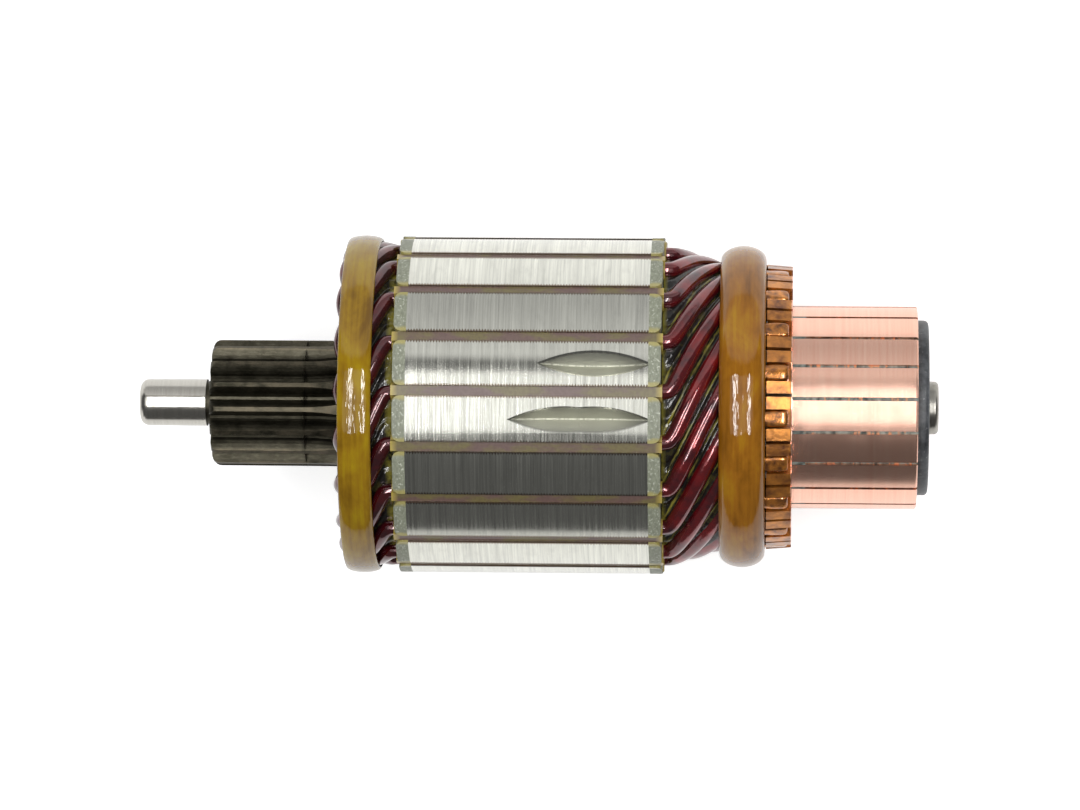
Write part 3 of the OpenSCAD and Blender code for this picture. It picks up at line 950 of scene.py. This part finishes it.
@dataclass(frozen=True)
class PoolPath:
    """How the varnish pools follow the outer wires at one end of the core.

    Attributes:
        name: Name of the piece.
        node: Packed sheet that it replaces.
        face: Station of the core's end that it starts from.
        side: 1 behind the core and -1 before it.
        length: Length along the shaft.
        lean: Angle of the wires to the shaft.
        bend: Radius of the wires' bend where they leave the core.
        mean_radius: Radius at which the wires are laid flat.
        radii: Radii of the sheet's upper side at equal steps along it.
        settle: Length beyond the core over which the wires run straight.
    """

    name: str
    node: str
    face: float
    side: int
    length: float
    lean: float
    bend: float
    mean_radius: float
    radii: tuple[float, ...]
    settle: float = 0.3 * MM

    def radius_at(self, depth: float) -> float:
        """Gives the sheet's radius at a depth beyond the core.

        Args:
            depth: Distance from the core's end along the shaft.

        Returns:
            The radius of the sheet's upper side.
        """
        place = min(depth / self.length, 1.0) * (len(self.radii) - 1)
        low = min(int(place), len(self.radii) - 2)
        return self.radii[low] + (self.radii[low + 1] - self.radii[low]) * (place - low)

    def turn_at(self, depth: float) -> float:
        """Gives the turn of the wires round the shaft at a depth beyond the core.

        Args:
            depth: Distance from the core's end along the shaft.

        Returns:
            The angle in radians.
        """
        run = max(0.0, depth - self.settle)
        bent = min(math.asin(min(1.0, run / self.bend)), self.lean)
        rest = max(0.0, run - self.bend * math.sin(self.lean))
        return (self.bend * (1 - math.cos(bent)) + rest * math.tan(self.lean)) / self.mean_radius


@dataclass
class Winding:
    """The hairpins, whose round wire ends in pressed pillows, with their bands and insulation."""

    fatten: float = 0.24 * MM
    cap_inset: float = 0.35 * MM
    cap_from: float = 44 * MM
    cap_slope: float = 0.9
    quad_angle: float = math.radians(60)
    wire_weld: float = 0.001 * MM
    pool_sides: int = 8
    pool_steps: int = 14
    pool_low: float = 0.10 * MM
    pool_high: float = 1.05 * MM
    pool_wet: float = 0.42
    pool_wall: float = 0.35 * MM
    pools: tuple[PoolPath, ...] = (
        PoolPath("varnish_rear", "layer_sheet_rear", 22.64 * MM, 1, 12.0 * MM, math.radians(62.6),
                 2.3 * MM, 24.5 * MM,
                 tuple(r * MM for r in (25.71, 25.67, 25.53, 25.32, 25.05, 24.76, 24.46, 24.18))),
        PoolPath("varnish_front", "layer_sheet_front", -24.44 * MM, -1, 5.6 * MM,
                 math.radians(65.2), 2.0 * MM, 26.3 * MM,
                 tuple(r * MM for r in (25.71, 25.86, 26.16, 26.36, 26.36))),
    )

    def build_hairpin(self) -> bpy.types.Object:
        """Rounds the first hairpin's solid into smooth wire.

        Returns:
            The smooth hairpin.
        """
        wire = start_from(frame["nodes"][hairpin_name(0)], "wire_01")
        bpy.ops.object.mode_set(mode="EDIT")
        bpy.ops.mesh.select_all(action="SELECT")
        bpy.ops.mesh.remove_doubles(threshold=self.wire_weld)
        bpy.ops.mesh.tris_convert_to_quads(face_threshold=self.quad_angle,
                                           shape_threshold=self.quad_angle)
        pick_faces(wire, lambda face: (abs(face.normal.x) > self.cap_slope
                                       and face.calc_center_median().x > self.cap_from))
        bpy.ops.mesh.dissolve_faces()
        bpy.ops.mesh.inset(thickness=self.cap_inset, depth=0.0)
        bpy.ops.mesh.select_all(action="SELECT")
        bpy.ops.transform.shrink_fatten(value=self.fatten)
        bpy.ops.object.mode_set(mode="OBJECT")
        apply_modifier(wire, "SUBSURF", levels=2, render_levels=2)
        bpy.ops.object.shade_smooth()
        return wire

    def build_pool(self, path: PoolPath) -> bpy.types.Object:
        """Draws a fluted sleeve of varnish, turned with the wires that it wets.

        Args:
            path: Where the varnish lies and how it turns.

        Returns:
            The sleeve.
        """
        bpy.ops.object.select_all(action="DESELECT")
        count = SLOTS * self.pool_sides
        bpy.ops.mesh.primitive_circle_add(vertices=count, radius=path.radius_at(0.0),
                                          rotation=(0.0, math.pi / 2, 0.0))
        pool = bpy.context.active_object
        pool.name = path.name
        bpy.ops.object.transform_apply(rotation=True)
        bpy.ops.object.mode_set(mode="EDIT")
        bpy.ops.mesh.select_mode(type="VERT")
        self.flute(pool, path)
        bpy.ops.mesh.select_all(action="SELECT")
        bpy.ops.transform.translate(value=(path.face, 0.0, 0.0))
        before = 0.0
        for step in range(1, self.pool_steps + 1):
            depth = path.length * step / self.pool_steps
            centre = (path.face + path.side * depth, 0.0, 0.0)
            bpy.ops.mesh.extrude_region_move(TRANSFORM_OT_translate={
                "value": (path.side * (depth - before), 0.0, 0.0)})
            turn = path.turn_at(depth) - path.turn_at(before)
            bpy.ops.transform.rotate(value=path.side * turn, orient_axis="X",
                                     center_override=centre)
            share = path.radius_at(depth) / path.radius_at(before)
            bpy.ops.transform.resize(value=(1.0, share, share), center_override=centre)
            before = depth
        bpy.ops.mesh.select_all(action="SELECT")
        bpy.ops.mesh.normals_make_consistent(inside=False)
        bpy.ops.object.mode_set(mode="OBJECT")
        apply_modifier(pool, "SOLIDIFY", thickness=self.pool_wall, offset=-1.0)
        apply_modifier(pool, "SUBSURF", levels=1, render_levels=1)
        bpy.ops.object.shade_smooth()
        return pool

    def flute(self, pool: bpy.types.Object, path: PoolPath) -> None:
        """Lifts a ring's points to the wires' sides and leaves one low between each two wires.

        Args:
            pool: Ring at work, in edit mode, centred on the origin.
            path: Where the varnish lies.
        """
        mesh = bmesh.from_edit_mesh(pool.data)
        for vert in mesh.verts:
            turn = math.atan2(vert.co.y, -vert.co.z) / PITCH
            off = abs(turn - round(turn))
            lift = self.pool_high if off < self.pool_wet else self.pool_low
            vert.co *= 1.0 + lift / path.radius_at(0.0)
        bmesh.update_edit_mesh(pool.data)

    def build(self) -> None:
        """Models one hairpin, copies it round the shaft, and pools varnish between the wires."""
        first = self.build_hairpin()
        wires = [first]
        for index in range(1, SLOTS):
            wire = start_from(first, f"wire_{index + 1:02d}")
            wire.data.transform(Matrix.Rotation(-index * PITCH, 4, "X"))
            wires.append(wire)
        for index, wire in enumerate(wires):
            stand_for(wire, hairpin_name(index))
            dress(wire, WireEnamel())
        for path in self.pools:
            pool = self.build_pool(path)
            stand_for(pool, path.node)
            dress(pool, PooledVarnish())

    def dress(self) -> None:
        """Dresses the liners and the bands."""
        dress(frame["nodes"]["slot_liners"], Film())
        dress(rounded("winding_band_front", 50.0), BandResin(BandTone.OLIVE))
        dress(rounded("winding_band_rear", 50.0), BandResin(BandTone.AMBER))


@dataclass
class Core:
    """The stack of laminations between its end plates."""

    plates: tuple[str, str] = ("end_plate_front", "end_plate_rear")

    def dress(self) -> None:
        """Dresses the stack and both plates."""
        dress(frame["nodes"]["lamination_stack"], CoreSteel())
        for name in self.plates:
            dress(frame["nodes"][name], PlateFibre())


@dataclass
class Commutator:
    """The copper bars on their moulded hub, with mica between them."""

    def dress(self) -> None:
        """Dresses the bars, the mica, the hub and what the hub holds."""
        for index in range(SLOTS):
            dress(frame["nodes"][bar_name(index)], BarCopper())
        dress(frame["nodes"]["mica_separators"], MicaSheet())
        dress(rounded("commutator_hub"), HubMoulding())
        dress(frame["nodes"]["commutator_bush"], InnerSteel())
        for name in ("hub_ring_front", "hub_ring_rear"):
            dress(frame["nodes"][name], RingGlass())


@dataclass
class Shaft:
    """The shaft with its sun gear."""

    node: str = "armature_shaft"

    def dress(self) -> None:
        """Dresses the shaft."""
        dress(frame["nodes"][self.node], ShaftSteel())


@dataclass
class Studio:
    """A white table, a broad lamp above it, a pale wall on one side and a dark one on the other."""

    table_size: float = 6.0
    table_white: Colour = (0.86, 0.86, 0.86)
    table_glow_seen: float = 0.62
    table_glow_mirrored: float = 0.3
    lamp_width: float = 0.95
    lamp_length: float = 1.5
    lamp_height: float = 1.25
    lamp_side: float = 0.135
    lamp_radiance: float = 0.8
    tube_width: float = 0.09
    tube_places: tuple[float, ...] = (-0.26, 0.34)
    tube_radiance: float = 22.0
    tube_drop: float = 0.05
    pale_wall: float = 0.87
    pale_fall: float = 0.9
    dark_wall: float = 0.11
    pale_from: float = 0.60
    aim: float = 0.27 * MM
    distance: float = 1.03
    tilt: float = math.radians(4.87)
    foot: float = 45 * MM
    roll: float = math.radians(0.22)
    view_width: float = 194.4 * MM
    sensor: float = 36.0

    def build_table(self, low: float) -> None:
        """Lays the table under the armature.

        Args:
            low: Height of the armature's lowest point.
        """
        bpy.ops.object.select_all(action="DESELECT")
        bpy.ops.mesh.primitive_plane_add(size=self.table_size, location=(0.0, 0.0, low))
        table = bpy.context.active_object
        table.name = "table"
        material = bpy.data.materials.new("TableWhite")
        material.use_nodes = True
        tree = Tree(material.node_tree)
        path = tree.node("ShaderNodeLightPath", output="Is Camera Ray")
        outputs = path.socket.node.outputs
        seen = (path * self.table_glow_seen
                + Wire(tree, outputs["Is Glossy Ray"]) * self.table_glow_mirrored)
        matt = tree.node("ShaderNodeBsdfDiffuse", inputs={"Color": self.table_white})
        glow = tree.node("ShaderNodeEmission", inputs={"Color": (1.0, 1.0, 1.0),
                                                       "Strength": seen})
        both = tree.node("ShaderNodeAddShader", inputs={0: matt, 1: glow})
        tree.node("ShaderNodeOutputMaterial", inputs={"Surface": both})
        table.data.materials.append(material)
        table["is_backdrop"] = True

    def hang_lamp(self, name: str, place: float, length: float, radiance: float,
                  drop: float = 0.0) -> None:
        """Hangs a flat lamp above the table, facing the armature.

        Args:
            name: Name of the lamp.
            place: Its place along the shaft.
            length: Its length along the shaft.
            radiance: Its radiance.
            drop: How far below the lamps' common height it hangs.
        """
        lamp = bpy.data.lights.new(name, "AREA")
        lamp.shape = "RECTANGLE"
        lamp.size, lamp.size_y = length, self.lamp_width
        lamp.energy = radiance * math.pi * length * self.lamp_width
        hung = bpy.data.objects.new(name, lamp)
        hung.location = (place, self.lamp_side, self.lamp_height - drop)
        hung.rotation_euler = (-math.atan2(self.lamp_side, self.lamp_height), 0.0, 0.0)
        hung.visible_camera = False
        bpy.context.scene.collection.objects.link(hung)

    def build_lamps(self) -> None:
        """Hangs two bright tubes across the shaft and a dim broad lamp round them."""
        self.hang_lamp("broad_lamp", 0.0, self.lamp_length, self.lamp_radiance)
        for index, place in enumerate(self.tube_places):
            self.hang_lamp(f"tube_{index + 1}", place, self.tube_width, self.tube_radiance,
                           self.tube_drop)

    def build_walls(self) -> None:
        """Makes the sky pale low on the +Y side and dark elsewhere, and white to the camera."""
        world = bpy.data.worlds.new("room")
        bpy.context.scene.world = world
        world.use_nodes = True
        tree = Tree(world.node_tree)
        direction = tree.node("ShaderNodeTexCoord", output="Generated")
        _, y, _ = tree.parts(direction)
        pale = (y - self.pale_from) * -self.pale_fall + (self.pale_wall - self.dark_wall)
        level = y.above(self.pale_from, 0.05) * pale + self.dark_wall
        seen = tree.node("ShaderNodeLightPath", output="Is Camera Ray")
        strength = level * (1 - seen) + seen
        sky = tree.node("ShaderNodeBackground", inputs={"Color": (1.0, 1.0, 1.0),
                                                        "Strength": strength})
        tree.node("ShaderNodeOutputWorld", inputs={"Surface": sky})

    def build_camera(self) -> None:
        """Sets the camera almost straight above, over the riser end of the commutator."""
        data = bpy.data.cameras.new("camera")
        data.sensor_width = self.sensor
        camera = bpy.data.objects.new("camera", data)
        bpy.context.scene.collection.objects.link(camera)
        eye = Vector((self.foot, self.distance * math.sin(self.tilt),
                      self.distance * math.cos(self.tilt)))
        target = Vector((self.aim, 0.0, 0.0))
        data.lens = self.sensor * eye.length / self.view_width
        data.clip_start, data.clip_end = 0.01, 100.0
        forward = -eye.normalized()
        right = forward.cross(Vector((0.0, 1.0, 0.0))).normalized()
        up = right.cross(forward)
        turned_right = right * math.cos(self.roll) + up * math.sin(self.roll)
        turned_up = up * math.cos(self.roll) - right * math.sin(self.roll)
        axes = Matrix((turned_right, turned_up, -forward)).transposed()
        camera.matrix_world = Matrix.Translation(eye + target) @ axes.to_4x4()
        bpy.context.scene.camera = camera

    def build(self, low: float) -> None:
        """Sets up the whole studio.

        Args:
            low: Height of the armature's lowest point.
        """
        self.build_table(low)
        self.build_lamps()
        self.build_walls()
        self.build_camera()
        bpy.context.scene.view_settings.view_transform = "Standard"


def main() -> None:
    """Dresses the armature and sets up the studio."""
    cad_low, cad_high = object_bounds()
    winding = Winding()
    winding.build()
    winding.dress()
    Core().dress()
    Commutator().dress()
    Shaft().dress()
    Studio().build(cad_low.z)


if __name__ == "__main__":
    main()
